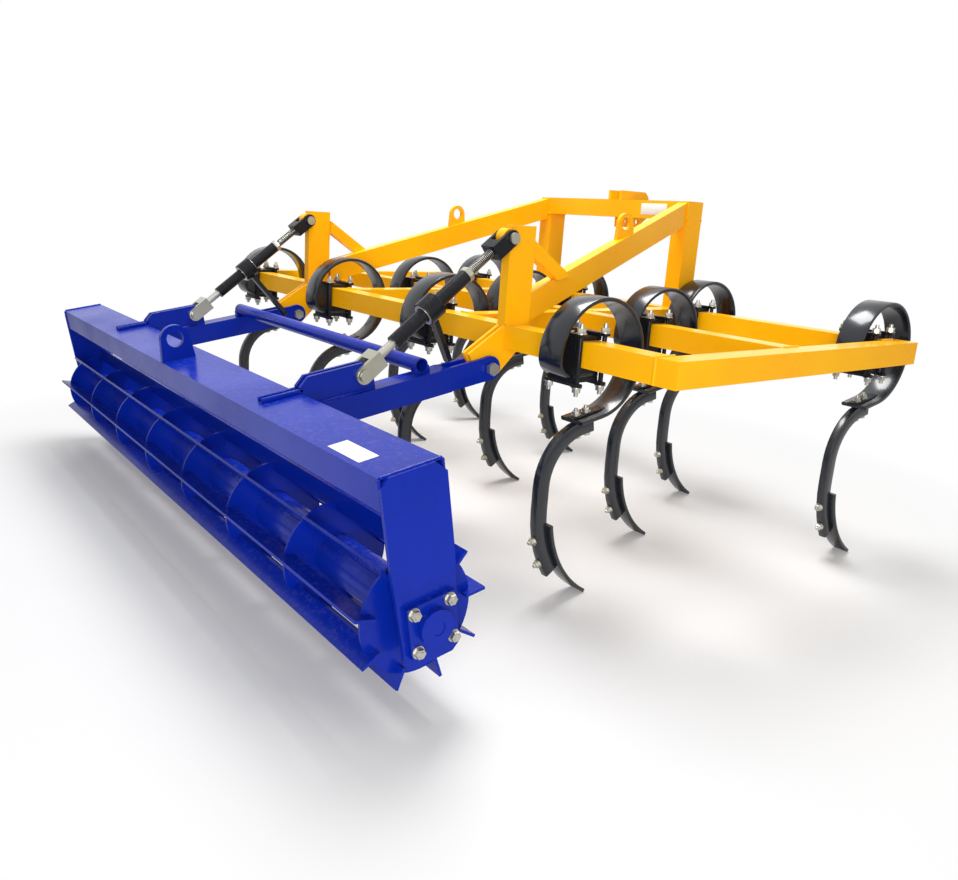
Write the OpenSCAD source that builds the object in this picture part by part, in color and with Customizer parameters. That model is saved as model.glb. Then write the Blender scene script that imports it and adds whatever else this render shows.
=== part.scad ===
// Spring tine scarifier with a rear roller.
// X runs across the machine, Y forward to the tractor, Z up, and the floor is Z = 0.
// The origin lies under the middle of the machine's box.

/* [Frame] */
// overall width over the two side beams
frame_w = 3000; // [2400:50:4000]
// square section of the frame's tubes
beam_b = 80; // [60:10:120]
// wall of the frame's tubes
beam_wall = 7; // [4:1:12]
// distance from one row of tines to the next
row_gap = 620; // [450:10:800]
// height of the frame's top face over the floor
frame_top = 880; // [700:10:1000]
// how far a side beam runs on past the front beam's front face
side_run = 30; // [0:5:100]
// plate that closes a tube's end
cap_t = 6; // [3:1:12]

/* [Mast] */
// middle of a mast upright from the machine's middle
mast_x = 440; // [300:10:600]
// depth of an upright along the machine
mast_d = 100; // [80:10:140]
// height of the mast over the frame
mast_h = 470; // [350:10:700]
// height of a brace's section
brace_h = 100; // [60:5:140]
// width of a brace's section
brace_w = 50; // [30:5:80]
// wall of a brace
brace_wall = 5; // [3:1:8]

/* [Rear posts] */
// middle of a rear post and of the roller arm under it
post_x = 735; // [600:5:1000]
// width of a post, of the gusset pair and of the lug pair
lug_w = 40; // [30:2:60]
// depth of a post
post_d = 110; // [80:5:140]
// height of a post over the frame
post_h = 330; // [250:5:450]
// height of the upper link pin over the frame
upper_pin_h = 288; // [200:2:400]
// diameter of the link pins
link_pin_d = 25; // [20:1:32]
// plate of the gussets and lugs
lug_t = 12; // [8:1:20]

/* [Hitch] */
// bore for the top link's pin
top_bore_d = 25.9; // [19.3:0.1:32.5]
// bore for a lower link's pin
low_bore_d = 28.9; // [22.3:0.1:37.5]
// height of the top bore over the lower ones
hitch_rise = 610; // [460:5:685]
// height of the lower bores over the floor
low_bore_z = 720; // [600:5:800]
// clear gap between the two top link plates
top_gap = 56; // [50:1:70]
// clear gap between the two plates of a lower bracket
low_gap = 62; // [50:1:80]
// plate of the hitch brackets
hitch_t = 14; // [10:1:25]

/* [Tines] */
// distance across the machine from one tine to the next
tine_pitch = 268; // [200:2:350]
// width of the spring band
band_w = 100; // [60:5:120]
// thickness of the spring band
band_t = 14; // [10:1:25]
// how far the loop stands behind its beam, to the band's middle
loop_back = 72; // [50:1:120]
// radius of the loop, to the band's middle
loop_r = 181; // [140:1:220]
// radius of the band's turn behind the clamp
turn_r = 52; // [40:1:80]
// radius of the sweep under the frame
sweep_r = 190; // [150:5:260]
// how far the sweep turns
sweep_turn = 80; // [60:1:95]
// straight end of the band
band_end = 90; // [100:5:220]
// depth of the shank in its plane
shank_d = 50; // [35:1:70]
// width of the shank
shank_w = 30; // [20:1:50]
// radius of the shank's bend under the band
shank_r = 190; // [120:5:260]
// radius of the shank's lower bow
bow_r = 400; // [250:10:600]
// turn of the lower bow
bow_turn = 34; // [20:1:60]
// width of the point
point_w = 62; // [40:1:120]
// thickness of the point
point_t = 13; // [8:1:20]
// gap between a point and the shank that it is bolted to
point_gap = 0.3; // [0.2:0.1:1]
// turn of the point along its bow, from its upper end to its tip
point_turn = 52; // [30:1:70]

/* [Roller frame] */
// arm pivot behind the rear beam's rear face
pivot_y = 61; // [40:1:120]
// arm pivot over the floor
pivot_z = 736; // [650:1:800]
// slope of the arms, rising forward
arm_tilt = 9.8; // [0:0.1:20]
// pivot pin's diameter
pivot_d = 30; // [25:1:40]
// square section of an arm
arm_b = 80; // [60:5:100]
// wall of an arm
arm_wall = 6; // [4:1:10]
// distance from the pivot back to the crossbar's front face
arm_run = 690; // [500:5:900]
// depth of the crossbar along the arms
cross_d = 170; // [100:5:220]
// height of the crossbar
cross_h = 85; // [60:5:120]
// height of the crossbar's top over the arms' middle line
cross_up = 82; // [60:1:100]
// wall of the crossbar
cross_wall = 5; // [4:1:10]
// thickness of an end plate
plate_t = 12; // [8:1:20]
// outer faces of the two end plates, across the machine
plate_span = 2964; // [2000:2:3600]

/* [Roller] */
// radius to the bars' outer edges
roller_r = 190; // [150:5:300]
// radius of the discs
disc_r = 158; // [120:5:280]
// thickness of a disc
disc_t = 8; // [5:1:12]
// number of discs
disc_n = 8; // [5:1:12]
// number of bars
bar_n = 9; // [6:1:14]
// depth of a bar, along the radius
bar_d = 58; // [30:2:80]
// thickness of a bar
bar_t = 8; // [6:1:14]
// outer radius of the core tube
core_r = 62; // [40:2:110]
// diameter of the stub axle and of the bearing's bore
axle_d = 40; // [30:5:60]

/* [Ratchet links] */
// outer diameter of the barrel
barrel_d = 48; // [40:1:70]
// length of the barrel
barrel_l = 340; // [250:5:450]
// distance from the upper pin to the barrel
barrel_at = 207; // [150:1:260]
// diameter of the threaded rods
rod_d = 30; // [24:1:40]
// outer diameter of the ratchet collar
collar_d = 84; // [60:2:110]
// length of the ratchet lever
lever_l = 250; // [150:5:350]

/* [Hidden] */

YELLOW = [0.98, 0.62, 0.04];
BLUE = [0.05, 0.12, 0.60];
BLACK = [0.05, 0.05, 0.06];
ZINC = [0.70, 0.70, 0.70];

beam_z = frame_top - beam_b;
beam_l = frame_w - 2 * beam_b;
side_l = 2 * row_gap + beam_b + side_run;
front_y = 2 * row_gap + beam_b;
side_x = frame_w / 2 - beam_b / 2;
mast_y = 2 * row_gap + beam_b / 2;
mast_top = frame_top + mast_h;
upper_pin = [0, frame_top + upper_pin_h];

// rows of tines: [row's number, place across the machine in tine pitches]
REAR_TINES = [[0, 4], [0, 1], [0, -2], [0, -5]];
MIDDLE_TINES = [[1, 3], [1, 0], [1, -3]];
FRONT_TINES = [[2, 5], [2, 2], [2, -1], [2, -4]];
ALL_TINES = concat(REAR_TINES, MIDDLE_TINES, FRONT_TINES);
row = 0;
place = 1;

// a path is a list of [y, z, heading]; each step is [radius, turn], or [length, 0] straight on
function arc_points(p, h, r, turn, n) =
    let (s = sign(turn), c = [p[0] - s * r * sin(h), p[1] + s * r * cos(h)])
    [for (k = [1:n]) let (a = h + turn * k / n) [c[0] + s * r * sin(a), c[1] - s * r * cos(a), a]];
function next_points(p, h, step) =
    step[1] == 0 ? [[p[0] + step[0] * cos(h), p[1] + step[0] * sin(h), h]]
                 : arc_points(p, h, step[0], step[1], ceil(abs(step[1]) / (step[0] > 300 ? 3 : 9)));
function walk(path, steps, i = 0) =
    i == len(steps) ? path
    : let (e = path[len(path) - 1])
      walk(concat(path, next_points([e[0], e[1]], e[2], steps[i])), steps, i + 1);
// one side of a path, d to the left of it
function beside(path, d) = [for (q = path) [q[0] - d * sin(q[2]), q[1] + d * cos(q[2])]];
function flip(pts) = [for (i = [len(pts) - 1:-1:0]) pts[i]];
function ribbon(path, t) = concat(beside(path, t / 2), flip(beside(path, -t / 2)));

// the spring: under the beam to the rear, up and over it, down in front and back underneath
clamp_t = 14;
clamp_back = loop_back - turn_r;
seat_t = 22;
band_z = beam_z - seat_t - band_t / 2;
band_start = beam_b + 10;
straight_in = band_start + loop_back - turn_r;
BAND_STEPS = [[straight_in, 0], [turn_r, -90], [2, 0], [loop_r, -180],
              [loop_r * 0.05, 0], [sweep_r, -sweep_turn], [band_end, 0]];
BAND = walk([[band_start, band_z, 180]], BAND_STEPS);
band_last = BAND[len(BAND) - 1];
band_slope = band_last[2];

// the shank lies under the band's straight end, then bows down and forward
lap = 92;
lap_gap = (band_t + shank_d) / 2;
lap_y = band_last[0] - (lap - 8) * cos(band_slope) - lap_gap * sin(band_slope);
lap_z = band_last[1] - (lap - 8) * sin(band_slope) + lap_gap * cos(band_slope);
bow_z = (bow_r - shank_d / 2) * sin(bow_turn + 26);
SHANK_TOP = walk([[lap_y, lap_z, band_slope]], [[lap * 0.45, 0], [shank_r, -90 - band_slope]]);
shank_top = SHANK_TOP[len(SHANK_TOP) - 1];
bow_y = shank_top[0] + bow_r;
SHANK = walk(SHANK_TOP, [[shank_top[1] - bow_z, 0], [bow_r, bow_turn]]);
point_r = bow_r - shank_d / 2 - point_gap - point_t / 2;
point_from = bow_turn - 26;
POINT = walk([[bow_y - point_r * cos(point_from), bow_z - point_r * sin(point_from), 270 + point_from]],
             [[point_r, point_turn]]);

// places in the roller frame are [along the arm, over its middle line] from the pivot
function placed(q) = [-pivot_y + q[0] * cos(arm_tilt) - q[1] * sin(arm_tilt),
                      pivot_z + q[0] * sin(arm_tilt) + q[1] * cos(arm_tilt)];
lower_pin_at = [-480, 88];
roller_at = [-arm_run - cross_d / 2, -312];
plate_back = -arm_run - cross_d - 4;
plate_front = -arm_run + 4;
lower_pin = placed(lower_pin_at);
link = upper_pin - lower_pin;
link_l = norm(link);
link_tilt = atan2(link[1], link[0]);
clevis_gap = lug_w + 2;
clevis_t = 13;
clevis_base = 47;
clevis_block = 36;
bearing_b = 136;
bearing_bolt = 102;
eye_r = 32;
eye_play = 3;

// the origin lies halfway between the bars' rear edge and the front loops
bar_reach = roller_r * sin(80) + bar_t / 2 * cos(80);
loop_reach = 2 * loop_r - loop_back + band_t / 2;
middle_y = (2 * row_gap + loop_reach + placed(roller_at)[0] - bar_reach) / 2;
module put() { translate([0, -middle_y, 0]) children(); }

module across(w) { rotate([90, 0, 90]) linear_extrude(w, center = true) children(); }
module tube_x(l, d, h, wall) {
    across(l) difference() {
        square([d, h], center = true);
        square([d - 2 * wall, h - 2 * wall], center = true);
    }
}
module tube_y(l, w, h, wall) { rotate([0, 0, 90]) tube_x(l, w, h, wall); }
module tube_z(l, w, d, wall) {
    linear_extrude(l, center = true) difference() {
        square([w, d], center = true);
        square([w - 2 * wall, d - 2 * wall], center = true);
    }
}
module both_sides() { for (s = [-1, 1]) scale([s, 1, 1]) children(); }
module pin_x(d, l) { rotate([0, 90, 0]) cylinder(d = d, h = l, center = true, $fn = 48); }
// a pair of plates with their outer faces w apart
module plate_pair(w, t) { for (s = [-1, 1]) translate([s * (w - t) / 2, 0, 0]) across(t) children(); }

module cross_beam(i) {
    translate([0, i * row_gap + beam_b / 2, beam_z + beam_b / 2]) tube_x(beam_l, beam_b, beam_b, beam_wall);
}
module rear_beam() { color(YELLOW) put() cross_beam(0); }
module middle_beam() { color(YELLOW) put() cross_beam(1); }
module front_beam() { color(YELLOW) put() cross_beam(2); }
module side_beams() {
    color(YELLOW) put() for (s = [-1, 1])
        translate([s * side_x, side_l / 2, beam_z + beam_b / 2])
            tube_y(side_l - 2 * cap_t, beam_b, beam_b, beam_wall);
}
module inner_beams() {
    color(YELLOW) put() for (s = [-1, 1], i = [0, 1])
        translate([s * mast_x, (i + 0.5) * row_gap + beam_b / 2, beam_z + beam_b / 2])
            tube_y(row_gap - beam_b, beam_b, beam_b, beam_wall);
}
module beam_caps() {
    color(YELLOW) put() for (s = [-1, 1]) {
        for (y = [cap_t / 2, side_l - cap_t / 2])
            translate([s * side_x, y, beam_z + beam_b / 2]) cube([beam_b, cap_t, beam_b], center = true);
        translate([s * (mast_x + beam_b / 2 - cap_t / 2), mast_y, mast_top - beam_b / 2])
            cube([cap_t, mast_d, beam_b], center = true);
    }
}

module mast_uprights() {
    color(YELLOW) put() for (s = [-1, 1])
        translate([s * mast_x, mast_y, frame_top + (mast_h - beam_b) / 2])
            tube_z(mast_h - beam_b, beam_b, mast_d, beam_wall);
}
module mast_top_beam() {
    color(YELLOW) put() translate([0, mast_y, mast_top - beam_b / 2])
        tube_x(2 * mast_x + beam_b - 2 * cap_t, mast_d, beam_b, beam_wall);
}

// a tube from the post's front to the upright's back, its ends cut along X
brace_y0 = post_d;
brace_y1 = mast_y - mast_d / 2;
brace_x = [post_x - 12, mast_x + 8];
brace_z = [frame_top + brace_h / 2 + 6, mast_top - brace_h / 2 - 6];
function brace_at(y) = let (f = (y - brace_y0) / (brace_y1 - brace_y0))
    [brace_x[0] + f * (brace_x[1] - brace_x[0]), y, brace_z[0] + f * (brace_z[1] - brace_z[0])];
function brace_end(y, w, h) = let (c = brace_at(y))
    [for (q = [[-1, -1], [1, -1], [1, 1], [-1, 1]]) [c[0] + q[0] * w / 2, y, c[2] + q[1] * h / 2]];
module brace_solid(y0, y1, w, h) {
    polyhedron(points = concat(brace_end(y0, w, h), brace_end(y1, w, h)),
               faces = [[3, 2, 1, 0], [4, 5, 6, 7], [0, 1, 5, 4], [1, 2, 6, 5], [2, 3, 7, 6], [3, 0, 4, 7]]);
}
module mast_braces() {
    color(YELLOW) put() both_sides() difference() {
        brace_solid(brace_y0, brace_y1, brace_w, brace_h);
        brace_solid(brace_y0 - 20, brace_y1 + 20, brace_w - 2 * brace_wall, brace_h - 2 * brace_wall);
    }
}

post_solid = 100;
module rear_posts() {
    color(YELLOW) put() for (s = [-1, 1]) translate([s * post_x, 0, 0]) difference() {
        union() {
            translate([-lug_w / 2, 0, frame_top]) cube([lug_w, post_d, post_h]);
            translate([0, upper_pin[0], upper_pin[1]]) pin_x(2 * eye_r, lug_w);
        }
        translate([-lug_w / 2 + 6, 6, frame_top - 1]) cube([lug_w - 12, post_d - 12, post_h - post_solid]);
        translate([0, upper_pin[0], upper_pin[1]]) pin_x(link_pin_d + 0.1, lug_w + 2);
    }
}

// a strut from the post's top down to the brace
strut_top = frame_top + post_h - 40;
strut_w = 40;
strut_b = 46;
strut_y = 300;
strut_foot = brace_at(strut_y)[2] + brace_h / 2;
strut_slope = (strut_top - strut_foot) / (strut_y - post_d);
brace_slope = (brace_z[1] - brace_z[0]) / (brace_y1 - brace_y0);
strut_cut = strut_b / (strut_slope + brace_slope) * sqrt(1 + strut_slope * strut_slope);
strut_rise = strut_b * sqrt(1 + strut_slope * strut_slope);
module post_struts() {
    color(YELLOW) put() for (s = [-1, 1]) translate([s * (post_x - 12), 0, 0]) across(strut_w)
        polygon([[post_d, strut_top], [strut_y, strut_foot],
                 [strut_y - strut_cut, strut_foot - strut_cut * brace_slope],
                 [post_d, strut_top - strut_rise]]);
}

module arm_gussets() {
    color(YELLOW) put() for (s = [-1, 1]) translate([s * post_x, 0, 0]) plate_pair(lug_w, lug_t) difference() {
        union() {
            polygon([[0, frame_top - 2], [-pivot_y - 84, beam_z - 14], [-pivot_y - 46, pivot_z - 10],
                     [-pivot_y, pivot_z - 46], [-pivot_y + 30, pivot_z - 40], [beam_b - 4, beam_z], [0, beam_z]]);
            translate([-pivot_y, pivot_z]) circle(r = 46, $fn = 64);
        }
        translate([-pivot_y, pivot_z]) circle(d = pivot_d + 0.1, $fn = 48);
    }
}
module arm_pivot_pins() {
    color(ZINC) put() for (s = [-1, 1]) translate([s * post_x, -pivot_y, pivot_z]) union() {
        pin_x(pivot_d, lug_w + 46);
        for (e = [-1, 1]) translate([e * (lug_w / 2 + 29), 0, 0])
            rotate([0, 90, 0]) cylinder(d = 46, h = 18, center = true, $fn = 6);
    }
}
module upper_link_pins() {
    color(ZINC) put() for (s = [-1, 1]) translate([s * post_x, upper_pin[0], upper_pin[1]]) link_pin();
}
module link_pin() {
    pin_x(link_pin_d, clevis_gap + 2 * clevis_t + 18);
    translate([clevis_gap / 2 + clevis_t + 8, 0, 0]) pin_x(link_pin_d + 13, 10);
}

// the top link's two plates on the front of the mast's top beam
top_bore = [mast_y + mast_d / 2 + 90, low_bore_z + hitch_rise];
module top_link_bracket() {
    color(YELLOW) put() plate_pair(top_gap + 2 * hitch_t, hitch_t) difference() {
        polygon([[mast_y + mast_d / 2, mast_top - beam_b - 46], [mast_y + mast_d / 2 + 70, mast_top - beam_b - 46],
                 [top_bore[0] + 45, top_bore[1] - 60], [top_bore[0] + 45, top_bore[1] + 40],
                 [top_bore[0] + 20, top_bore[1] + 64], [mast_y + mast_d / 2 - 60, top_bore[1] + 64],
                 [mast_y + mast_d / 2 - 60, mast_top], [mast_y + mast_d / 2, mast_top]]);
        translate(top_bore) circle(d = top_bore_d, $fn = 48);
        translate([top_bore[0] - 20, top_bore[1] - 78]) circle(d = top_bore_d, $fn = 48);
    }
}
low_bore = [front_y + 92, low_bore_z];
module lower_hitch_brackets() {
    color(YELLOW) put() for (s = [-1, 1]) translate([s * mast_x, 0, 0])
        plate_pair(low_gap + 2 * hitch_t, hitch_t) difference() {
            polygon([[front_y, frame_top - 2], [front_y + 60, frame_top - 2], [low_bore[0] + 42, low_bore_z + 40],
                     [low_bore[0] + 42, low_bore_z - 30], [low_bore[0] + 20, low_bore_z - 46],
                     [low_bore[0] - 40, low_bore_z - 46], [front_y - beam_b + 10, beam_z], [front_y, beam_z]]);
            translate(low_bore) circle(d = low_bore_d, $fn = 48);
        }
}

// rings on the braces for lifting chains
ring_y = 745;
module brace_eyes() {
    color(YELLOW) put() both_sides() {
        c = brace_at(ring_y);
        translate([c[0], 0, 0]) across(16) difference() {
            union() {
                translate([ring_y, c[2] + brace_h / 2 + 48]) circle(r = 42, $fn = 64);
                polygon([for (q = [[-46, 0], [46, 0], [42, 48], [-42, 48]])
                    [ring_y + q[0], c[2] + brace_h / 2 + q[0] * brace_slope * (q[1] == 0 ? 1 : 0) + q[1]]]);
            }
            translate([ring_y, c[2] + brace_h / 2 + 50]) circle(r = 25, $fn = 48);
        }
    }
}

module at_tine(t) { translate([t[place] * tine_pitch, t[row] * row_gap, 0]) children(); }
module tine_clamps() {
    color(BLACK) put() for (t = ALL_TINES) at_tine(t) {
        across(band_w) polygon([[-clamp_back, frame_top + clamp_t], [-clamp_back, beam_z - seat_t],
                                [band_start, beam_z - seat_t], [band_start, beam_z], [0, beam_z], [0, frame_top],
                                [band_start, frame_top], [band_start, frame_top + clamp_t]]);
        translate([-band_w / 2, -clamp_back, band_z - band_t / 2 - clamp_t])
            cube([band_w, band_start + clamp_back, clamp_t]);
    }
}
module springs(tines) { color(BLACK) put() for (t = tines) at_tine(t) across(band_w) polygon(ribbon(BAND, band_t)); }
module rear_springs() { springs(REAR_TINES); }
module middle_springs() { springs(MIDDLE_TINES); }
module front_springs() { springs(FRONT_TINES); }
module shanks(tines) { color(BLACK) put() for (t = tines) at_tine(t) across(shank_w) polygon(ribbon(SHANK, shank_d)); }
module rear_shanks() { shanks(REAR_TINES); }
module middle_shanks() { shanks(MIDDLE_TINES); }
module front_shanks() { shanks(FRONT_TINES); }
module tine_points() { color(BLACK) put() for (t = ALL_TINES) at_tine(t) across(point_w) polygon(ribbon(POINT, point_t)); }

module on_arms() { translate([0, -pivot_y, pivot_z]) rotate([arm_tilt, 0, 0]) children(); }
module roller_crossbar() {
    color(BLUE) put() on_arms() translate([0, -arm_run - cross_d / 2, cross_up - cross_h / 2])
        tube_x(plate_span - 2 * plate_t, cross_d, cross_h, cross_wall);
}
module roller_end_plates() {
    foot = roller_at[1] - 104;
    color(BLUE) put() on_arms() for (s = [-1, 1]) translate([s * (plate_span - plate_t) / 2, 0, 0]) across(plate_t)
        difference() {
            polygon([[plate_back + 22, cross_up], [plate_front - 30, cross_up], [plate_front, cross_up - 30],
                     [plate_front, -150], [plate_front - 14, foot + 16], [plate_front - 34, foot],
                     [plate_back + 24, foot], [plate_back + 8, foot + 16], [plate_back, -150],
                     [plate_back, cross_up - 22]]);
            translate(roller_at) circle(r = axle_d / 2 + 10, $fn = 48);
        }
}
fork_in = arm_run - 510;
fork_w = lug_w + 2 + 28;
module roller_arms() {
    color(BLUE) put() on_arms() for (s = [-1, 1]) translate([s * post_x, 0, 0]) union() {
        translate([0, (-arm_run - fork_in) / 2, 0]) tube_y(arm_run - fork_in, arm_b, arm_b, arm_wall);
        translate([0, -fork_in + cap_t, 0]) cube([arm_b, 2 * cap_t, arm_b], center = true);
        plate_pair(fork_w, 14) difference() {
            union() {
                circle(r = 42, $fn = 64);
                translate([-fork_in + cap_t, -arm_b / 2]) square([fork_in - cap_t - 40, arm_b]);
                polygon([[-41, arm_b / 2], [-41, -arm_b / 2], [0, -42], [0, 42]]);
            }
            circle(d = pivot_d + 0.6, $fn = 48);
        }
    }
}
module arm_cross_tube() {
    color(BLUE) put() on_arms() translate([0, -258, arm_b / 2 + 25]) difference() {
        union() {
            pin_x(50, 2 * post_x + 20);
            for (s = [-1, 1]) translate([s * post_x, 0, -14]) cube([24, 56, 22], center = true);
        }
        pin_x(40, 2 * post_x + 40);
    }
}
module link_lugs() {
    color(BLUE) put() on_arms() for (s = [-1, 1]) translate([s * post_x, 0, 0]) plate_pair(lug_w, lug_t) difference() {
        union() {
            polygon([[-arm_run, arm_b / 2], [-arm_run, 100], [-arm_run + 30, lower_pin_at[1] + 38],
                     [lower_pin_at[0], lower_pin_at[1] + 38], [lower_pin_at[0] + 38, lower_pin_at[1]],
                     [lower_pin_at[0] + 38, arm_b / 2]]);
            translate(lower_pin_at) circle(r = 38, $fn = 64);
        }
        translate(lower_pin_at) circle(d = link_pin_d + 0.1, $fn = 48);
    }
}
module lower_link_pins() {
    color(ZINC) put() on_arms() for (s = [-1, 1]) translate([s * post_x, lower_pin_at[0], lower_pin_at[1]]) link_pin();
}
module crossbar_eye() {
    color(BLUE) put() on_arms() translate([0, -arm_run - cross_d + 62, cross_up]) across(20) difference() {
        union() {
            translate([0, 70]) circle(r = 52, $fn = 64);
            polygon([[-60, 0], [60, 0], [52, 70], [-52, 70]]);
        }
        translate([0, 74]) circle(r = 30, $fn = 48);
    }
}
module bearing_housings() {
    color(BLACK) put() on_arms() both_sides() translate([plate_span / 2, roller_at[0], roller_at[1]])
        rotate([0, 90, 0]) difference() {
            union() {
                translate([-bearing_b / 2, -bearing_b / 2, 0]) cube([bearing_b, bearing_b, 15]);
                cylinder(r = 46, h = 34, $fn = 64);
                translate([0, 0, -plate_t - 6]) cylinder(r = axle_d / 2 + 9, h = plate_t + 8, $fn = 64);
            }
            translate([0, 0, -plate_t - 8]) cylinder(d = axle_d + 0.1, h = plate_t + 60, $fn = 64);
            for (x = [-1, 1], y = [-1, 1]) translate([x, y, 0] * bearing_bolt / 2)
                translate([0, 0, -1]) cylinder(d = 15, h = 18, $fn = 32);
        }
}

roller_yz = placed(roller_at);
disc_span = plate_span - 2 * plate_t - 100;
bar_l = disc_span + 60;
module at_roller() { translate([0, roller_yz[0], roller_yz[1]]) children(); }
module roller_core() {
    color(BLUE) put() at_roller() difference() {
        union() {
            pin_x(2 * core_r, disc_span - disc_t);
            pin_x(axle_d, plate_span + 64);
        }
        pin_x(2 * core_r - 16, disc_span - disc_t - 40);
        for (s = [-1, 1]) translate([s * (disc_span / 2 - 100), 0, 0])
            cylinder(d = 12, h = core_r + 5, $fn = 24);
    }
}
module roller_discs() {
    color(BLUE) put() at_roller() for (i = [0:disc_n - 1])
        translate([(i / (disc_n - 1) - 0.5) * disc_span, 0, 0]) difference() {
            pin_x(2 * disc_r, disc_t);
            if (i == 0 || i == disc_n - 1) pin_x(axle_d, disc_t + 2);
            else pin_x(2 * core_r, disc_t + 2);
            for (k = [0:bar_n - 1]) rotate([k * 360 / bar_n, 0, 0])
                translate([0, 0, roller_r - bar_d / 2]) cube([disc_t + 2, bar_t, bar_d], center = true);
        }
}
module roller_bars() {
    color(BLUE) put() at_roller() for (k = [0:bar_n - 1]) rotate([k * 360 / bar_n, 0, 0])
        translate([0, 0, roller_r - bar_d / 2]) cube([bar_l, bar_t, bar_d], center = true);
}

// a link is drawn along +X from its upper pin, then laid back and down to the lower pin
module on_link(s) {
    translate([s * post_x, upper_pin[0], upper_pin[1]]) rotate([0, 0, -90]) rotate([0, link_tilt, 0]) children();
}
module clevis(rod_to, play) {
    difference() {
        union() {
            for (e = [-1, 1]) translate([0, e * (clevis_gap + clevis_t) / 2, 0]) {
                rotate([90, 0, 0]) cylinder(r = 27, h = clevis_t, center = true, $fn = 64);
                translate([clevis_base / 2, 0, 0]) cube([clevis_base, clevis_t, 54], center = true);
            }
            translate([clevis_base + clevis_block / 2 - 0.5, 0, 0])
                cube([clevis_block + 1, clevis_gap + 2 * clevis_t, 54], center = true);
            translate([clevis_base, 0, 0]) rotate([0, 90, 0]) cylinder(d = rod_d, h = rod_to - clevis_base, $fn = 48);
        }
        rotate([90, 0, 0]) cylinder(d = link_pin_d + 2 * play, h = 100, center = true, $fn = 48);
    }
}
module upper_clevis(s) { color(BLACK) put() on_link(s) clevis(barrel_at + 70, 0.3); }
module lower_clevis(s) {
    color(BLACK) put() on_link(s) translate([link_l, 0, 0]) rotate([0, 0, 180]) clevis(link_l - barrel_at - barrel_l + 130, eye_play);
}
module barrel(s) {
    color(BLACK) put() on_link(s) translate([barrel_at, 0, 0]) rotate([0, 90, 0]) difference() {
        union() {
            cylinder(d = barrel_d, h = barrel_l, $fn = 64);
            translate([0, 0, barrel_l / 2 - 30]) cylinder(d = collar_d, h = 60, $fn = 64);
        }
        translate([0, 0, -1]) cylinder(d = rod_d + 0.6, h = barrel_l + 2, $fn = 48);
    }
}
module lever(s) {
    color(BLACK) put() on_link(s) translate([barrel_at + barrel_l / 2, 0, 0]) rotate([s * -20, 0, 0]) {
        difference() {
            union() {
                translate([-9, -14, -lever_l]) cube([18, 28, lever_l - collar_d / 2]);
                translate([0, 0, -lever_l]) rotate([0, 90, 0]) cylinder(d = 28, h = 18, center = true, $fn = 32);
            }
            rotate([0, 90, 0]) cylinder(d = collar_d, h = 40, center = true, $fn = 64);
        }
    }
}
module right_upper_clevis() { upper_clevis(1); }
module right_barrel() { barrel(1); }
module right_lever() { lever(1); }
module right_lower_clevis() { lower_clevis(1); }
module left_upper_clevis() { upper_clevis(-1); }
module left_barrel() { barrel(-1); }
module left_lever() { lever(-1); }
module left_lower_clevis() { lower_clevis(-1); }

rear_beam();
middle_beam();
front_beam();
side_beams();
inner_beams();
beam_caps();
mast_uprights();
mast_top_beam();
mast_braces();
rear_posts();
post_struts();
arm_gussets();
top_link_bracket();
lower_hitch_brackets();
brace_eyes();
upper_link_pins();
arm_pivot_pins();
tine_clamps();
rear_springs();
middle_springs();
front_springs();
rear_shanks();
middle_shanks();
front_shanks();
tine_points();
roller_crossbar();
roller_end_plates();
roller_arms();
arm_cross_tube();
link_lugs();
lower_link_pins();
bearing_housings();
crossbar_eye();
roller_core();
roller_discs();
roller_bars();
right_upper_clevis();
right_barrel();
right_lever();
right_lower_clevis();
left_upper_clevis();
left_barrel();
left_lever();
left_lower_clevis();
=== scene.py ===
import math

import bmesh
import bpy
from mathutils import Matrix, Vector


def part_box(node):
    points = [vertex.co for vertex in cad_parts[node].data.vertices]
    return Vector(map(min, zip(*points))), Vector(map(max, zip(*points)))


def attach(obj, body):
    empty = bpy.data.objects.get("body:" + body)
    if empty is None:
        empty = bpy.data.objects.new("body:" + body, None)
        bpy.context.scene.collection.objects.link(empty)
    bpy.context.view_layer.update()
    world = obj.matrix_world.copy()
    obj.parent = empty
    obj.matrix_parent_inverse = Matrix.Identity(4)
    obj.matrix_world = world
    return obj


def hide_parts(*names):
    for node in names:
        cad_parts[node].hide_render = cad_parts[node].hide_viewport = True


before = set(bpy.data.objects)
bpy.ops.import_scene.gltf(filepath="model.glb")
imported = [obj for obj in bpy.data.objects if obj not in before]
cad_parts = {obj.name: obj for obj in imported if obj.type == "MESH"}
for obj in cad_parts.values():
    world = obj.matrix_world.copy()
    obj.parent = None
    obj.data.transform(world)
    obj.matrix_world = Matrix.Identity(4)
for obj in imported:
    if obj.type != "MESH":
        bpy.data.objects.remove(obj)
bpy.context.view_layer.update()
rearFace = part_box("rear_beam")[0].y  # every length below is in metres; y counts forward from here
print("frame loaded")


# places

machine = {
    "frameTop": 0.880, "beam": 0.080, "rowGap": 0.620, "halfWidth": 1.500,
    "mastX": 0.440, "mastTop": 1.350, "mastBack": 1.230, "mastFront": 1.330, "postX": 0.735,
    "pivot": (-0.061, 0.736), "armTilt": 9.8, "upperPin": (0.0, 1.168), "lowerPin": (-0.480, 0.088),
    "tinePitch": 0.268,
    "rows": {"rear": (0, (4, 1, -2, -5)), "middle": (1, (3, 0, -3)), "front": (2, (5, 2, -1, -4))},
}


def at(x, y, z):
    return Vector((x, rearFace + y, z))


armTurn = Matrix.Rotation(math.radians(machine["armTilt"]), 4, "X")
armPlace = Matrix.Translation(at(0, *machine["pivot"])) @ armTurn
lowerPin = armPlace @ Vector((0, *machine["lowerPin"]))
upperPin = at(0, *machine["upperPin"])
linkTilt = math.atan2(upperPin.z - lowerPin.z, upperPin.y - lowerPin.y)


def onArms(x, along, over):
    return armPlace @ Vector((x, along, over))


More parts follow.
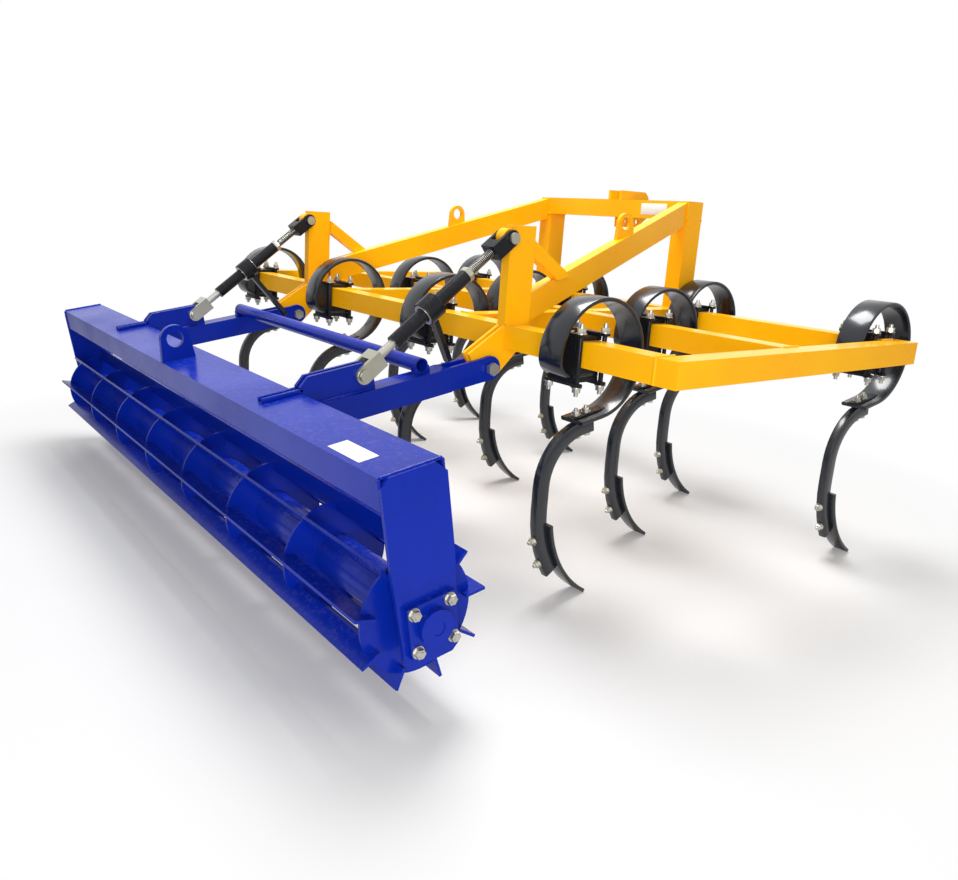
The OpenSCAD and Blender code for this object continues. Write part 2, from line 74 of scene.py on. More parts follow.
def onLink(side):  # +X runs from the upper pin down to the lower one
    where = Matrix.Translation(Vector((side * machine["postX"], upperPin.y, upperPin.z)))
    return where @ Matrix.Rotation(math.radians(-90), 4, "Z") @ Matrix.Rotation(linkTilt, 4, "Y")


def facing(place, direction):  # a matrix whose Z looks along direction
    turn = Vector(direction).normalized().to_track_quat("Z", "X").to_matrix().to_4x4()
    return Matrix.Translation(place) @ turn


# mesh helpers

def roundedBlock(bm, centre, size, edge=0.002, turn=None):
    shape = Matrix.Translation(centre) @ (turn or Matrix.Identity(4)) @ Matrix.Diagonal((*size, 1))
    made = bmesh.ops.create_cube(bm, size=1, matrix=shape)
    edges = list({e for v in made["verts"] for e in v.link_edges})
    bmesh.ops.bevel(bm, geom=edges, offset=edge, affect="EDGES", segments=2, profile=0.5, material=-1)


def roundBar(bm, start, end, radius, sides=16, edge=0.0015):
    way = Vector(end) - Vector(start)
    shape = facing((Vector(start) + Vector(end)) / 2, way)
    made = bmesh.ops.create_cone(bm, cap_ends=True, segments=sides, radius1=radius, radius2=radius,
                                 depth=way.length, matrix=shape)
    rims = [e for e in {e for v in made["verts"] for e in v.link_edges}
            if abs((e.verts[0].co - e.verts[1].co).normalized().dot(way.normalized())) < 0.1]
    bmesh.ops.bevel(bm, geom=rims, offset=edge, affect="EDGES", segments=2, profile=0.5, material=-1)


def hexNut(flats, height, washer=1.25, stub=0.0):  # it stands on its washer, with the bolt's end on top
    bm = bmesh.new()
    radius = flats / math.sqrt(3)
    lift = 0.003 if washer else 0.0
    if washer:
        bmesh.ops.create_cone(bm, cap_ends=True, segments=20, radius1=radius * washer,
                              radius2=radius * washer, depth=lift,
                              matrix=Matrix.Translation((0, 0, lift / 2)))
    made = bmesh.ops.create_cone(bm, cap_ends=True, segments=6, radius1=radius, radius2=radius,
                                 depth=height, matrix=Matrix.Translation((0, 0, lift + height / 2)))
    top = [v for v in made["verts"] if v.co.z > lift + height * 0.6]
    rim = [e for e in {e for v in top for e in v.link_edges} if all(v in top for v in e.verts)]
    bmesh.ops.bevel(bm, geom=rim, offset=flats * 0.08, affect="EDGES", segments=2, profile=0.5,
                    material=-1)
    if stub:
        bmesh.ops.create_cone(bm, cap_ends=True, segments=14, radius1=flats * 0.32, radius2=flats * 0.28,
                              depth=stub, matrix=Matrix.Translation((0, 0, lift + height + stub / 2)))
    mesh = bpy.data.meshes.new("nut")
    bm.to_mesh(mesh)
    bm.free()
    return mesh


def stamp(bm, mesh, matrix):
    shape = mesh.copy()
    shape.transform(matrix)
    bm.from_mesh(shape)
    bpy.data.meshes.remove(shape)


def pull(bm, face, move):  # one extrusion of a face; move places its new corners
    made = bmesh.ops.extrude_face_region(bm, geom=[face])["geom"]
    corners = [g for g in made if isinstance(g, bmesh.types.BMVert)]
    move(corners)
    if any(len(e.link_faces) > 2 for e in face.edges):  # it now lies inside the bar
        bmesh.ops.delete(bm, geom=[face], context="FACES_ONLY")
    faces = [g for g in made if isinstance(g, bmesh.types.BMFace)]
    return next(f for f in faces if all(v in corners for v in f.verts))


def nextPlace(place, length, turn):  # place is (y, z, heading in degrees)
    y, z, heading = place
    a = math.radians(heading)
    if not turn:
        return (y + length * math.cos(a), z + length * math.sin(a), heading)
    r = math.copysign(length, turn)
    b = math.radians(heading + turn)
    return (y + r * (math.sin(b) - math.sin(a)), z - r * (math.cos(b) - math.cos(a)), heading + turn)


# a bar drawn along its middle line; a step is (radius, turn in degrees), or (length, 0) for a straight
def bentBar(place, steps, width, thick, corner=0.004, perStep=7.5):
    bm = bmesh.new()
    y, z, heading = place
    shape = Matrix.Translation((0, y, z)) @ Matrix.Rotation(math.radians(heading + 90), 4, "X")
    shape = shape @ Matrix.Diagonal((width, thick, 1, 1))
    made = bmesh.ops.create_grid(bm, x_segments=1, y_segments=1, size=0.5, matrix=shape)
    bmesh.ops.bevel(bm, geom=made["verts"], offset=corner, affect="VERTICES", segments=2, profile=0.5,
                    material=-1)
    bm.faces.ensure_lookup_table()
    face = bm.faces[0]
    for length, turn in steps:
        count = max(1, math.ceil(abs(turn) / perStep))
        a = math.radians(place[2])
        if turn:
            r = math.copysign(length, turn)
            middle = Vector((0, place[0] - r * math.sin(a), place[1] + r * math.cos(a)))
            spin = Matrix.Rotation(math.radians(turn / count), 3, "X")
            for _ in range(count):
                face = pull(bm, face, lambda vs: bmesh.ops.rotate(bm, verts=vs, cent=middle, matrix=spin))
        else:
            way = Vector((0, length * math.cos(a), length * math.sin(a)))
            face = pull(bm, face, lambda vs: bmesh.ops.translate(bm, verts=vs, vec=way))
        place = nextPlace(place, length, turn)
    bmesh.ops.recalc_face_normals(bm, faces=bm.faces)
    mesh = bpy.data.meshes.new("bentBar")
    bm.to_mesh(mesh)
    bm.free()
    return mesh, place


# bars and beads whose every second ring is swollen: threads and welds
def ridgedBar(bm, face, way, count, swell):
    def step(corners, size):
        bmesh.ops.translate(bm, verts=corners, vec=way / count)
        centre = sum((v.co for v in corners), Vector()) / len(corners)
        bmesh.ops.scale(bm, verts=corners, vec=(size,) * 3, space=Matrix.Translation(-centre))

    for k in range(count):
        size = swell if k % 2 == 0 else 1 / swell
        face = pull(bm, face, lambda corners: step(corners, size))


def piece(name, bm, material, body, sharp=35, replaces=()):
    bmesh.ops.recalc_face_normals(bm, faces=bm.faces)
    mesh = bpy.data.meshes.new(name)
    bm.to_mesh(mesh)
    bm.free()
    mesh.shade_smooth()
    mesh.set_sharp_from_angle(angle=math.radians(sharp))
    mesh.materials.append(material)
    made = bpy.data.objects.new(name, mesh)
    bpy.context.collection.objects.link(made)
    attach(made, body)
    if replaces:
        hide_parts(*replaces)
    return made


# materials

def plug(tree, value, socket):  # a link where the value comes from a node, or else the value itself
    if isinstance(value, bpy.types.NodeSocket):
        tree.links.new(value, socket)
    else:
        socket.default_value = value


def add(tree, kind, inputs=None, **settings):
    node = tree.nodes.new(kind)
    for key, value in settings.items():
        setattr(node, key, value)
    for key, value in (inputs or {}).items():
        plug(tree, value, node.inputs[key])
    return node


def blendColour(tree, factor, first, second):
    node = add(tree, "ShaderNodeMix", data_type="RGBA")
    for index, value in ((0, factor), (6, first), (7, second)):
        plug(tree, value, node.inputs[index])
    return node.outputs[2]


def span(tree, value, low, high, to=(0.0, 1.0)):
    limits = {"From Min": low, "From Max": high, "To Min": to[0], "To Max": to[1]}
    return add(tree, "ShaderNodeMapRange", {"Value": value, **limits}).outputs[0]


def combine(tree, operation, *values):
    node = add(tree, "ShaderNodeMath", operation=operation)
    for socket, value in zip(node.inputs, values):
        plug(tree, value, socket)
    return node.outputs[0]


def noise(tree, place, scale, detail, rough=0.5):
    inputs = {"Vector": place, "Scale": scale, "Detail": detail, "Roughness": rough}
    return add(tree, "ShaderNodeTexNoise", inputs).outputs[0]


def newGroup(name, inputs, outputs):
    tree = bpy.data.node_groups.new(name, "ShaderNodeTree")
    for key, value in inputs.items():
        socket = tree.interface.new_socket(key, in_out="INPUT", socket_type="NodeSocketFloat")
        socket.default_value = value
    for key in outputs:
        tree.interface.new_socket(key, in_out="OUTPUT", socket_type="NodeSocketFloat")
    return tree, tree.nodes.new("NodeGroupInput").outputs, tree.nodes.new("NodeGroupOutput").inputs


def wornEdges():  # a mask along outer edges, broken up by noise
    tree, given, put = newGroup("wornEdges", {"Width": 0.003, "Amount": 0.5}, ["Wear"])
    soft = add(tree, "ShaderNodeBevel", {"Radius": given["Width"]}, samples=6)
    plain = add(tree, "ShaderNodeNewGeometry")
    dot = add(tree, "ShaderNodeVectorMath", operation="DOT_PRODUCT")
    tree.links.new(soft.outputs[0], dot.inputs[0])
    tree.links.new(plain.outputs["Normal"], dot.inputs[1])
    edge = span(tree, dot.outputs["Value"], 0.985, 0.80)
    place = add(tree, "ShaderNodeTexCoord").outputs["Object"]
    patch = span(tree, noise(tree, place, 34.0, 5.0), 0.52, 0.66)
    wear = combine(tree, "MULTIPLY", combine(tree, "MULTIPLY", edge, patch), given["Amount"])
    tree.links.new(wear, put["Wear"])
    return tree


def paintSkin():  # orange peel, slow changes of tone, and dust on what faces up
    tree, given, put = newGroup("paintSkin", {"Peel": 260.0, "Cloud": 3.0}, ["Height", "Tone", "Dust"])
    place = add(tree, "ShaderNodeTexCoord").outputs["Object"]
    peel = noise(tree, place, given["Peel"], 2.0)
    wave = noise(tree, place, 16.0, 1.0)
    tree.links.new(combine(tree, "MULTIPLY_ADD", wave, 1.6, peel), put["Height"])
    tree.links.new(span(tree, noise(tree, place, given["Cloud"], 6.0), 0.35, 0.70), put["Tone"])
    normal = add(tree, "ShaderNodeNewGeometry").outputs["Normal"]
    upward = add(tree, "ShaderNodeSeparateXYZ", {"Vector": normal}).outputs["Z"]
    speck = span(tree, noise(tree, place, 60.0, 8.0, 0.7), 0.50, 0.75)
    tree.links.new(combine(tree, "MULTIPLY", span(tree, upward, 0.3, 1.0), speck), put["Dust"])
    return tree


groups = {"wear": wornEdges(), "skin": paintSkin()}
dustColour = (0.42, 0.38, 0.32, 1)


def useGroup(tree, key, inputs):
    node = add(tree, "ShaderNodeGroup", node_tree=groups[key])
    for name, value in inputs.items():
        plug(tree, value, node.inputs[name])
    return node.outputs


# base and shade are the coat's two tones, and bare is what shows where edges are worn
def coated(name, base, shade, bare, rough=(0.20, 0.34), wear=0.5, dust=0.12, peel=260.0, bump=0.04,
           metal=0.0, coat=0.08, bareMetal=0.0, specular=0.12):
    made = bpy.data.materials.new(name)
    made.use_nodes = True
    tree = made.node_tree
    shader = tree.nodes["Principled BSDF"].inputs
    skin = useGroup(tree, "skin", {"Peel": peel})
    worn = useGroup(tree, "wear", {"Amount": wear})["Wear"]
    colour = blendColour(tree, skin["Tone"], hexColour(base), hexColour(shade))
    colour = blendColour(tree, combine(tree, "MULTIPLY", skin["Dust"], dust), colour, dustColour)
    colour = blendColour(tree, worn, colour, hexColour(bare))
    tree.links.new(colour, shader["Base Color"])
    tree.links.new(span(tree, skin["Tone"], 0.0, 1.0, rough), shader["Roughness"])
    if bareMetal:
        tree.links.new(combine(tree, "MULTIPLY", worn, bareMetal), shader["Metallic"])
    else:
        shader["Metallic"].default_value = metal
    shader["Coat Weight"].default_value = coat
    shader["Coat Roughness"].default_value = 0.08
    shader["Specular IOR Level"].default_value = specular
    dent = add(tree, "ShaderNodeBump", {"Height": skin["Height"], "Strength": bump, "Distance": 0.002})
    tree.links.new(dent.outputs[0], shader["Normal"])
    return made


def hexColour(code):  # the colour as a picture shows it, made linear
    parts = [int(code[i:i + 2], 16) / 255 for i in (0, 2, 4)]
    linear = [c / 12.92 if c < 0.04045 else ((c + 0.055) / 1.055) ** 2.4 for c in parts]
    return (*linear, 1)


finishes = {
    "yellow": coated("yellowPaint", "FFBA0C", "FCAE0A", "8A5A16", wear=0.3),
    "blue": coated("bluePaint", "05259C", "04208A", "2C3A70"),
    "black": coated("blackPaint", "17181B", "222327", "6A6660", bareMetal=0.8),
    "spring": coated("springSteel", "0F1319", "1A1F27", "5C5650", rough=(0.16, 0.32), wear=0.4,
                     dust=0.04, bump=0.05, coat=0.3, specular=0.4),
    "shank": coated("shankPaint", "15181E", "20242B", "77706A", rough=(0.20, 0.34), wear=0.7,
                    dust=0.06, bareMetal=0.7, coat=0.2, specular=0.5),
    "zinc": coated("zincPlate", "C4C4BE", "A9A793", "8C8A80", rough=(0.26, 0.42), wear=0.3,
                   dust=0.05, peel=420.0, metal=0.9, coat=0.0, specular=0.5),
    "label": coated("blankLabel", "F2F2F0", "E8E8E4", "B8B8B0", rough=(0.35, 0.45), wear=0.2,
                    dust=0.05, bump=0.01, coat=0.0),
}
nodeFinish = {
    "blue": ("roller_crossbar roller_end_plates roller_arms arm_cross_tube link_lugs crossbar_eye "
             "roller_core roller_discs roller_bars bearing_housings").split(),
    "black": ("tine_clamps right_upper_clevis right_barrel right_lever "
              "left_upper_clevis left_barrel left_lever").split(),
    "spring": "rear_springs middle_springs front_springs".split(),
    "shank": "rear_shanks middle_shanks front_shanks tine_points".split(),
    "zinc": "upper_link_pins arm_pivot_pins lower_link_pins right_lower_clevis left_lower_clevis".split(),
}
for name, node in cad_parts.items():
    finish = next((key for key, names in nodeFinish.items() if name in names), "yellow")
    if not node.material_slots:
        node.data.materials.append(finishes[finish])
    for place in node.material_slots:
        place.material = finishes[finish]
print("materials done")


# springs, shanks and points

tine = {
    "bandWidth": 0.100, "bandThick": 0.014, "bandFrom": (0.090, 0.771, 180),
    "bandSteps": [(0.110, 0), (0.052, -90), (0.002, 0), (0.181, -180), (0.00905, 0), (0.190, -80),
                  (0.090, 0)],
    "shankWide": 0.030, "shankDeep": 0.050, "shankCorner": 0.005, "shankBack": 0.084,
    "shankFlat": 0.0414, "shankTurn": 0.190, "bowRadius": 0.400, "bowTurn": 34,
    "pointWide": 0.062, "pointThick": 0.013, "pointCorner": 0.003, "pointTurn": 52,
    "pointReach": 26, "pointGap": 0.0003,
}
bandMesh, bandEnd = bentBar(tine["bandFrom"], tine["bandSteps"], tine["bandWidth"], tine["bandThick"])
slope = math.radians(bandEnd[2])
lapGap = (tine["bandThick"] + tine["shankDeep"]) / 2
shankFrom = (bandEnd[0] - tine["shankBack"] * math.cos(slope) - lapGap * math.sin(slope),
             bandEnd[1] - tine["shankBack"] * math.sin(slope) + lapGap * math.cos(slope), bandEnd[2])
topSteps = [(tine["shankFlat"], 0), (tine["shankTurn"], -90 - bandEnd[2])]
shankTop = nextPlace(nextPlace(shankFrom, *topSteps[0]), *topSteps[1])
innerBow = tine["bowRadius"] - tine["shankDeep"] / 2
bowZ = innerBow * math.sin(math.radians(tine["bowTurn"] + tine["pointReach"]))
bowY = shankTop[0] + tine["bowRadius"]
lowSteps = [(shankTop[1] - bowZ, 0), (tine["bowRadius"], tine["bowTurn"])]
shankMesh = bentBar(shankFrom, topSteps + lowSteps, tine["shankWide"], tine["shankDeep"],
                    corner=tine["shankCorner"])[0]
pointR = innerBow - tine["pointGap"] - tine["pointThick"] / 2
pointStart = tine["bowTurn"] - tine["pointReach"]
pointFrom = (bowY - pointR * math.cos(math.radians(pointStart)),
             bowZ - pointR * math.sin(math.radians(pointStart)), 270 + pointStart)
pointMesh = bentBar(pointFrom, [(pointR, tine["pointTurn"])], tine["pointWide"], tine["pointThick"],
                    corner=tine["pointCorner"], perStep=3.25)[0]


def bowPlace(radius, angle):  # a place on the lower bow and the way out of it
    a = math.radians(angle)
    out = Vector((0, -math.cos(a), -math.sin(a)))
    return Vector((0, bowY, bowZ)) + out * radius, out


tinePlaces = []
for key, (row, places) in machine["rows"].items():
    spring = bmesh.new()
    shank = bmesh.new()
    for place in places:
        move = Matrix.Translation((place * machine["tinePitch"], rearFace + row * machine["rowGap"], 0))
        tinePlaces.append(move)
        stamp(spring, bandMesh, move)
        stamp(shank, shankMesh, move)
    piece(key + "SpringBands", spring, finishes["spring"], "frame", 40,
          (key + "_springs",))
    piece(key + "ShankBars", shank, finishes["shank"], "frame", 40, (key + "_shanks",))
points = bmesh.new()
for move in tinePlaces:
    stamp(points, pointMesh, move)
piece("pointBlades", points, finishes["shank"], "frame", 30, ("tine_points",))
print("tines done")


# clamp hardware

clamp = {
    "top": machine["frameTop"] + 0.014, "under": 0.750,
    "strap": (0.150, 0.027, 0.010), "strapEdge": 0.003,
    "barX": 0.062, "barY": (-0.0115, 0.0915), "barRadius": 0.008, "barOver": 0.012, "barUnder": 0.020,
    "nut": 0.024, "nutHigh": 0.015, "thread": 0.012,
}
nut = hexNut(clamp["nut"], clamp["nutHigh"], 1.25, clamp["thread"])
straps = bmesh.new()
bars = bmesh.new()
nuts = bmesh.new()
strapThick = clamp["strap"][2]
for move in tinePlaces:
    base = move.translation
    for y in clamp["barY"]:
        for z in (clamp["top"] + strapThick / 2, clamp["under"] - strapThick / 2):
            roundedBlock(straps, base + Vector((0, y, z)), clamp["strap"], clamp["strapEdge"])
        for s in (-1, 1):
            spot = base + Vector((s * clamp["barX"], y, 0))
            roundBar(bars, spot + Vector((0, 0, clamp["under"] - clamp["barUnder"])),
                     spot + Vector((0, 0, clamp["top"] + clamp["barOver"])), clamp["barRadius"], 12)
            for z, way in ((clamp["top"] + strapThick, 1), (clamp["under"] - strapThick, -1)):
                stamp(nuts, nut, facing(spot + Vector((0, 0, z)), (0, 0, way)))
piece("clampStraps", straps, finishes["black"], "frame")
piece("clampBars", bars, finishes["black"], "frame")
piece("clampNuts", nuts, finishes["zinc"], "frame")

# a strip over the band's end, its two bolts through the shank, and the point's two bolts
joint = {"strip": (0.040, 0.150, 0.007), "stripBack": 0.060, "bolts": (0.020, 0.064), "nut": 0.022,
         "nutHigh": 0.012, "thread": 0.008, "headHigh": 0.009, "pointBolts": (14, 26)}
strips = bmesh.new()
fasteners = bmesh.new()
bandTurn = Matrix.Rotation(slope, 4, "X")
bandWay = Vector((0, math.cos(slope), math.sin(slope)))
bandUp = Vector((0, math.sin(slope), -math.cos(slope)))
halfBand = tine["bandThick"] / 2
stripThick = joint["strip"][2]
small = hexNut(joint["nut"], joint["nutHigh"], 1.2, joint["thread"])
head = hexNut(joint["nut"], joint["headHigh"], 0, 0)
for move in tinePlaces:
    base = move.translation
    end = base + Vector((0, bandEnd[0], bandEnd[1]))
    middle = end - bandWay * joint["stripBack"] + bandUp * (halfBand + stripThick / 2)
    roundedBlock(strips, middle, joint["strip"], 0.002, bandTurn)
    for back in joint["bolts"]:
        spot = end - bandWay * back
        stamp(fasteners, small, facing(spot + bandUp * (halfBand + stripThick), bandUp))
        stamp(fasteners, head, facing(spot - bandUp * (halfBand + tine["shankDeep"]), -bandUp))
    for angle in joint["pointBolts"]:
        spot, out = bowPlace(tine["bowRadius"] + tine["shankDeep"] / 2, angle)
        stamp(fasteners, small, facing(base + spot, out))
        spot, out = bowPlace(pointR - tine["pointThick"] / 2, angle)
        stamp(fasteners, head, facing(base + spot, -out))
piece("lapStrips", strips, finishes["black"], "frame")
piece("tineFasteners", fasteners, finishes["zinc"], "frame")
print("tine hardware done")


# welds

weld = {"radius": 0.0045, "pitch": 0.009, "swell": 1.18}
mast = {"half": 0.040, "back": machine["mastBack"] + 0.002, "front": machine["mastFront"] - 0.012}
post = {"half": 0.020, "back": 0.004, "front": 0.078}
crossbar = {"inner": 1.470, "front": -0.690, "back": -0.860, "top": 0.082, "under": -0.003}
arm = {"half": 0.040, "lugHalf": 0.020, "lugFront": -0.445}


def weldRun(bm, start, end):
    way = end - start
    made = bmesh.ops.create_circle(bm, cap_ends=True, segments=8, radius=weld["radius"],
                                   matrix=facing(start, way))
    count = max(2, int(way.length / weld["pitch"]) * 2)
    ridgedBar(bm, made["verts"][0].link_faces[0], way, count, weld["swell"])


top = machine["frameTop"]
low = top - machine["beam"]
welds = bmesh.new()
for side in (-1, 1):
    sideX = side * (machine["halfWidth"] - machine["beam"])
    mastX = side * machine["mastX"]
    for row in range(3):
        y0 = row * machine["rowGap"]
        y1 = y0 + machine["beam"]
        weldRun(welds, at(sideX, y0, top), at(sideX, y1, top))
        for y in (y0, y1):
            weldRun(welds, at(sideX, y, low), at(sideX, y, top))
        for y, joined in ((y0, row > 0), (y1, row < 2)):  # the inner beams meet these faces
            if not joined:
                continue
            x0, x1 = mastX - mast["half"], mastX + mast["half"]
            weldRun(welds, at(x0, y, top), at(x1, y, top))
            weldRun(welds, at(x0, y, low), at(x0, y, top))
            weldRun(welds, at(x1, y, low), at(x1, y, top))
    for x, foot in ((mastX, mast), (side * machine["postX"], post)):  # round each foot on its beam
        x0, x1 = x - foot["half"], x + foot["half"]
        for y in (foot["back"], foot["front"]):
            weldRun(welds, at(x0, y, top), at(x1, y, top))
        for edge in (x0, x1):
            weldRun(welds, at(edge, foot["back"], top), at(edge, foot["front"], top))
    z = machine["mastTop"] - machine["beam"]
    for y in (machine["mastBack"], machine["mastFront"]):
        weldRun(welds, at(mastX - mast["half"], y, z), at(mastX + mast["half"], y, z))
piece("frameWelds", welds, finishes["yellow"], "frame", 50)

rollerWelds = bmesh.new()
for side in (-1, 1):
    x = side * crossbar["inner"]
    weldRun(rollerWelds, onArms(x, crossbar["back"] + 0.002, crossbar["top"]),
            onArms(x, crossbar["front"] - 0.002, crossbar["top"]))
    for along in (crossbar["front"], crossbar["back"]):
        weldRun(rollerWelds, onArms(x, along, crossbar["under"]),
                onArms(x, along, crossbar["top"] - 0.002))
    for edge in (-1, 1):
        x = side * machine["postX"] + edge * arm["half"]
        weldRun(rollerWelds, onArms(x, crossbar["front"], crossbar["under"]),
                onArms(x, crossbar["front"], arm["half"]))
        x = side * machine["postX"] + edge * arm["lugHalf"]
        weldRun(rollerWelds, onArms(x, crossbar["front"] + 0.002, arm["half"]),
                onArms(x, arm["lugFront"], arm["half"]))
piece("rollerFrameWelds", rollerWelds, finishes["blue"], "roller_frame", 50)
print("welds done")


# bearings, pins and rails on the roller frame

bearing = {"at": (-0.775, -0.312), "bolt": 0.051, "face": 1.497, "nut": 0.024, "nutHigh": 0.013,
           "thread": 0.002}
rail = {"size": (0.012, 0.130, 0.014), "apart": 0.014, "along": -0.745, "over": 0.089, "edge": 0.003}
clip = {"out": -0.041, "over": 0.020, "under": -0.024, "radius": 0.0022}
large = hexNut(bearing["nut"], bearing["nutHigh"], 1.2, bearing["thread"])
boltSet = bmesh.new()
rails = bmesh.new()
clips = bmesh.new()
for side in (-1, 1):
    for a in (-bearing["bolt"], bearing["bolt"]):
        for b in (-bearing["bolt"], bearing["bolt"]):
            spot = onArms(side * bearing["face"], bearing["at"][0] + a, bearing["at"][1] + b)
            stamp(boltSet, large, facing(spot, (side, 0, 0)))
    for edge in (-1, 1):  # rails from the lugs back over the crossbar
        x = side * machine["postX"] + edge * rail["apart"]
        roundedBlock(rails, onArms(x, rail["along"], rail["over"]), rail["size"], rail["edge"], armTurn)
    spot = Vector((side * machine["postX"] + clip["out"], upperPin.y, upperPin.z))
    roundBar(clips, spot + Vector((0, 0, clip["over"])), spot + Vector((0, 0, clip["under"])),
             clip["radius"], 8, 0.0005)
piece("bearingBolts", boltSet, finishes["zinc"], "roller_frame")
piece("crossbarRails", rails, finishes["blue"], "roller_frame")
piece("upperPinClips", clips, finishes["zinc"], "frame")
print("roller frame hardware done")


# the two links: the upper rod's thread, its lock nut, and rings at the collar's ends

link = {
    "rodRadius": 0.0154, "thread": 0.0012, "pitch": 0.006, "threadFrom": 0.083, "barrelFrom": 0.207,
    "lockNut": 0.046, "lockHigh": 0.020, "rings": (0.3455, 0.4085), "ringInner": 0.0255,
    "ringOuter": 0.036, "ringThick": 0.003, "ringEdge": 0.0007,
}


def threadedRod(bm, matrix, start, end):
    made = bmesh.ops.create_circle(bm, cap_ends=True, segments=20, radius=link["rodRadius"],
                                   matrix=matrix @ facing(Vector((start, 0, 0)), (1, 0, 0)))
    count = int((end - start) / link["pitch"]) * 2
    way = (matrix.to_3x3() @ Vector((1, 0, 0))) * (end - start)
    root = (link["rodRadius"] - link["thread"]) / link["rodRadius"]
    ridgedBar(bm, made["verts"][0].link_faces[0], way, count, root)


def collarRing(bm, matrix):
    middle = Matrix.Translation(((link["ringInner"] + link["ringOuter"]) / 2, 0, 0))
    size = Matrix.Diagonal((link["ringOuter"] - link["ringInner"], link["ringThick"], 1, 1))
    section = matrix @ middle @ Matrix.Rotation(math.radians(90), 4, "X") @ size
    made = bmesh.ops.create_grid(bm, x_segments=1, y_segments=1, size=0.5, matrix=section)
    bmesh.ops.bevel(bm, geom=made["verts"], offset=link["ringEdge"], affect="VERTICES", segments=2,
                    profile=0.5, material=-1)
    face = bm.faces[:][-1]
    outline = [*face.verts, *face.edges]
    bmesh.ops.delete(bm, geom=[face], context="FACES_ONLY")
    bmesh.ops.spin(bm, geom=outline, cent=matrix.translation, axis=matrix.to_3x3() @ Vector((0, 0, 1)),
                   angle=math.radians(360), steps=40, use_merge=True)


lock = hexNut(link["lockNut"], link["lockHigh"], 0, 0)
for side, name in ((1, "right"), (-1, "left")):
    here = onLink(side)
    rod = bmesh.new()
    threadedRod(rod, here, link["threadFrom"], link["barrelFrom"] - 0.001)
    piece(name + "UpperThread", rod, finishes["zinc"], name + "_link")
    ends = bmesh.new()
    stamp(ends, lock, here @ facing(Vector((link["barrelFrom"], 0, 0)), (-1, 0, 0)))
    for x in link["rings"]:
        collarRing(ends, here @ facing(Vector((x, 0, 0)), (1, 0, 0)))
    piece(name + "LockNuts", ends, finishes["zinc"], name + "_link")
print("links done")


# blank labels

label = {"thick": 0.0008, "edge": 0.0002, "mastAt": (0.285, 1.2296, 1.311), "mastSize": (0.150, 0.050),
         "crossbarAt": (1.28, -0.815, 0.0824), "crossbarSize": (0.150, 0.055)}
plate = bmesh.new()
size = (label["mastSize"][0], label["thick"], label["mastSize"][1])
roundedBlock(plate, at(*label["mastAt"]), size, label["edge"])
piece("mastLabel", plate, finishes["label"], "frame")
plate = bmesh.new()
roundedBlock(plate, onArms(*label["crossbarAt"]), (*label["crossbarSize"], label["thick"]), label["edge"],
             armTurn)
piece("crossbarLabel", plate, finishes["label"], "roller_frame")
print("labels done")


# floor, light and camera

studio = {"floorColour": 0.70, "floorGlow": (0.15, 1.0), "glowFrom": (1.7, 2.9), "sky": 0.46,
          "keyPower": 255.0, "fillPower": 160.0}

bm = bmesh.new()
bmesh.ops.create_grid(bm, x_segments=1, y_segments=1, size=60, matrix=Matrix.Translation((0, 0, -0.0005)))
floorMesh = bpy.data.meshes.new("floor")
bm.to_mesh(floorMesh)
bm.free()
floor = bpy.data.objects.new("floor", floorMesh)
bpy.context.collection.objects.link(floor)

pale = bpy.data.materials.new("paleFloor")  # it glows away from the machine, as far as the camera sees
pale.use_nodes = True
tree = pale.node_tree
tree.nodes.clear()
matte = add(tree, "ShaderNodeBsdfDiffuse", {"Color": (*(studio["floorColour"],) * 3, 1)})
glow = add(tree, "ShaderNodeEmission", {"Color": (1, 1, 1, 1), "Strength": 1.0})
reach = add(tree, "ShaderNodeVectorMath", operation="LENGTH")
tree.links.new(add(tree, "ShaderNodeTexCoord").outputs["Object"], reach.inputs[0])
spread = span(tree, reach.outputs["Value"], *studio["glowFrom"], studio["floorGlow"])
seen = add(tree, "ShaderNodeLightPath").outputs["Is Camera Ray"]
mixed = add(tree, "ShaderNodeMixShader")
tree.links.new(combine(tree, "MULTIPLY", seen, spread), mixed.inputs[0])
tree.links.new(matte.outputs[0], mixed.inputs[1])
tree.links.new(glow.outputs[0], mixed.inputs[2])
tree.links.new(mixed.outputs[0], add(tree, "ShaderNodeOutputMaterial").inputs["Surface"])
floorMesh.materials.append(pale)

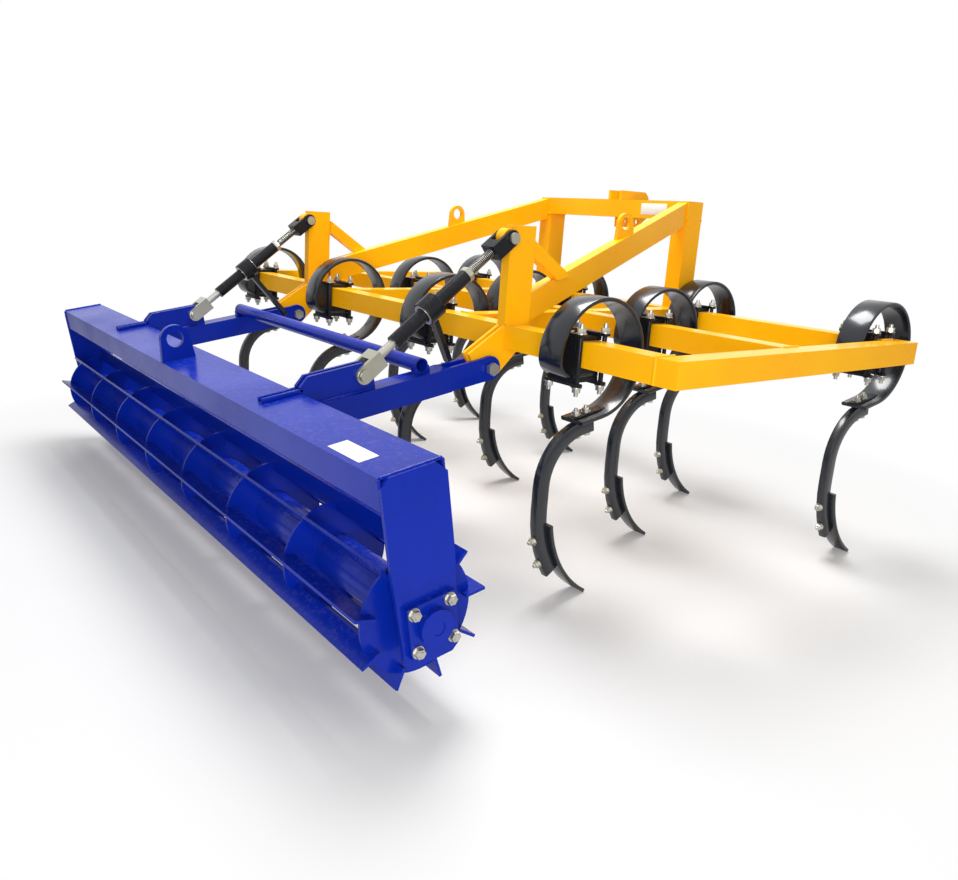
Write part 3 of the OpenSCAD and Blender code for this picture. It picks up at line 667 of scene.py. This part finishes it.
world = bpy.data.worlds.new("studio")  # white where it is seen or mirrored, and a softer light elsewhere
bpy.context.scene.world = world
world.use_nodes = True
tree = world.node_tree
back = tree.nodes["Background"]
ray = add(tree, "ShaderNodeLightPath").outputs
seen = combine(tree, "MAXIMUM", ray["Is Camera Ray"], ray["Is Transmission Ray"])
seen = combine(tree, "MAXIMUM", seen, ray["Is Glossy Ray"])
back.inputs["Color"].default_value = (1, 1, 1, 1)
tree.links.new(span(tree, seen, 0.0, 1.0, (studio["sky"], 1.0)), back.inputs["Strength"])


def softLamp(name, place, target, size, power):
    lamp = bpy.data.lights.new(name, "AREA")
    lamp.shape = "RECTANGLE"
    lamp.size, lamp.size_y = size
    lamp.energy = power
    made = bpy.data.objects.new(name, lamp)
    bpy.context.collection.objects.link(made)
    made.matrix_world = facing(Vector(place), Vector(place) - Vector(target))


softLamp("overheadLamp", (-0.3, 0.3, 4.6), (0, 0, 0.4), (2.4, 2.0), studio["keyPower"])
softLamp("nearLamp", (4.6, -3.4, 1.5), (0, 0, 0.7), (3.0, 1.8), studio["fillPower"])

photo = {"width": 958, "height": 880, "sensor": 36}
view = {"place": (2.9345, -1.8287, 1.2282), "yaw": 0.6509, "pitch": -0.2553, "roll": 0.0607,
        "focal": 834.56, "centre": (458.32, 434.33)}
yaw, pitch, roll = view["yaw"], view["pitch"], view["roll"]
plumb = Vector((0, 0, 1))
levelAhead = Vector((-math.cos(yaw), math.sin(yaw), 0))
levelRight = Vector((math.sin(yaw), math.cos(yaw), 0))
ahead = levelAhead * math.cos(pitch) + plumb * math.sin(pitch)
upward = plumb * math.cos(pitch) - levelAhead * math.sin(pitch)
right = levelRight * math.cos(roll) + upward * math.sin(roll)
upward = upward * math.cos(roll) - levelRight * math.sin(roll)
lens = bpy.data.cameras.new("camera")
lens.sensor_width = photo["sensor"]
lens.lens = view["focal"] / photo["width"] * photo["sensor"]
lens.shift_x = (photo["width"] / 2 - view["centre"][0]) / photo["width"]
lens.shift_y = (view["centre"][1] - photo["height"] / 2) / photo["width"]
camera = bpy.data.objects.new("camera", lens)
bpy.context.collection.objects.link(camera)
turn = Matrix((right, upward, -ahead)).transposed().to_4x4()
camera.matrix_world = Matrix.Translation(at(*view["place"])) @ turn
bpy.context.scene.camera = camera
bpy.context.scene.view_settings.view_transform = "Standard"

print("scene done")
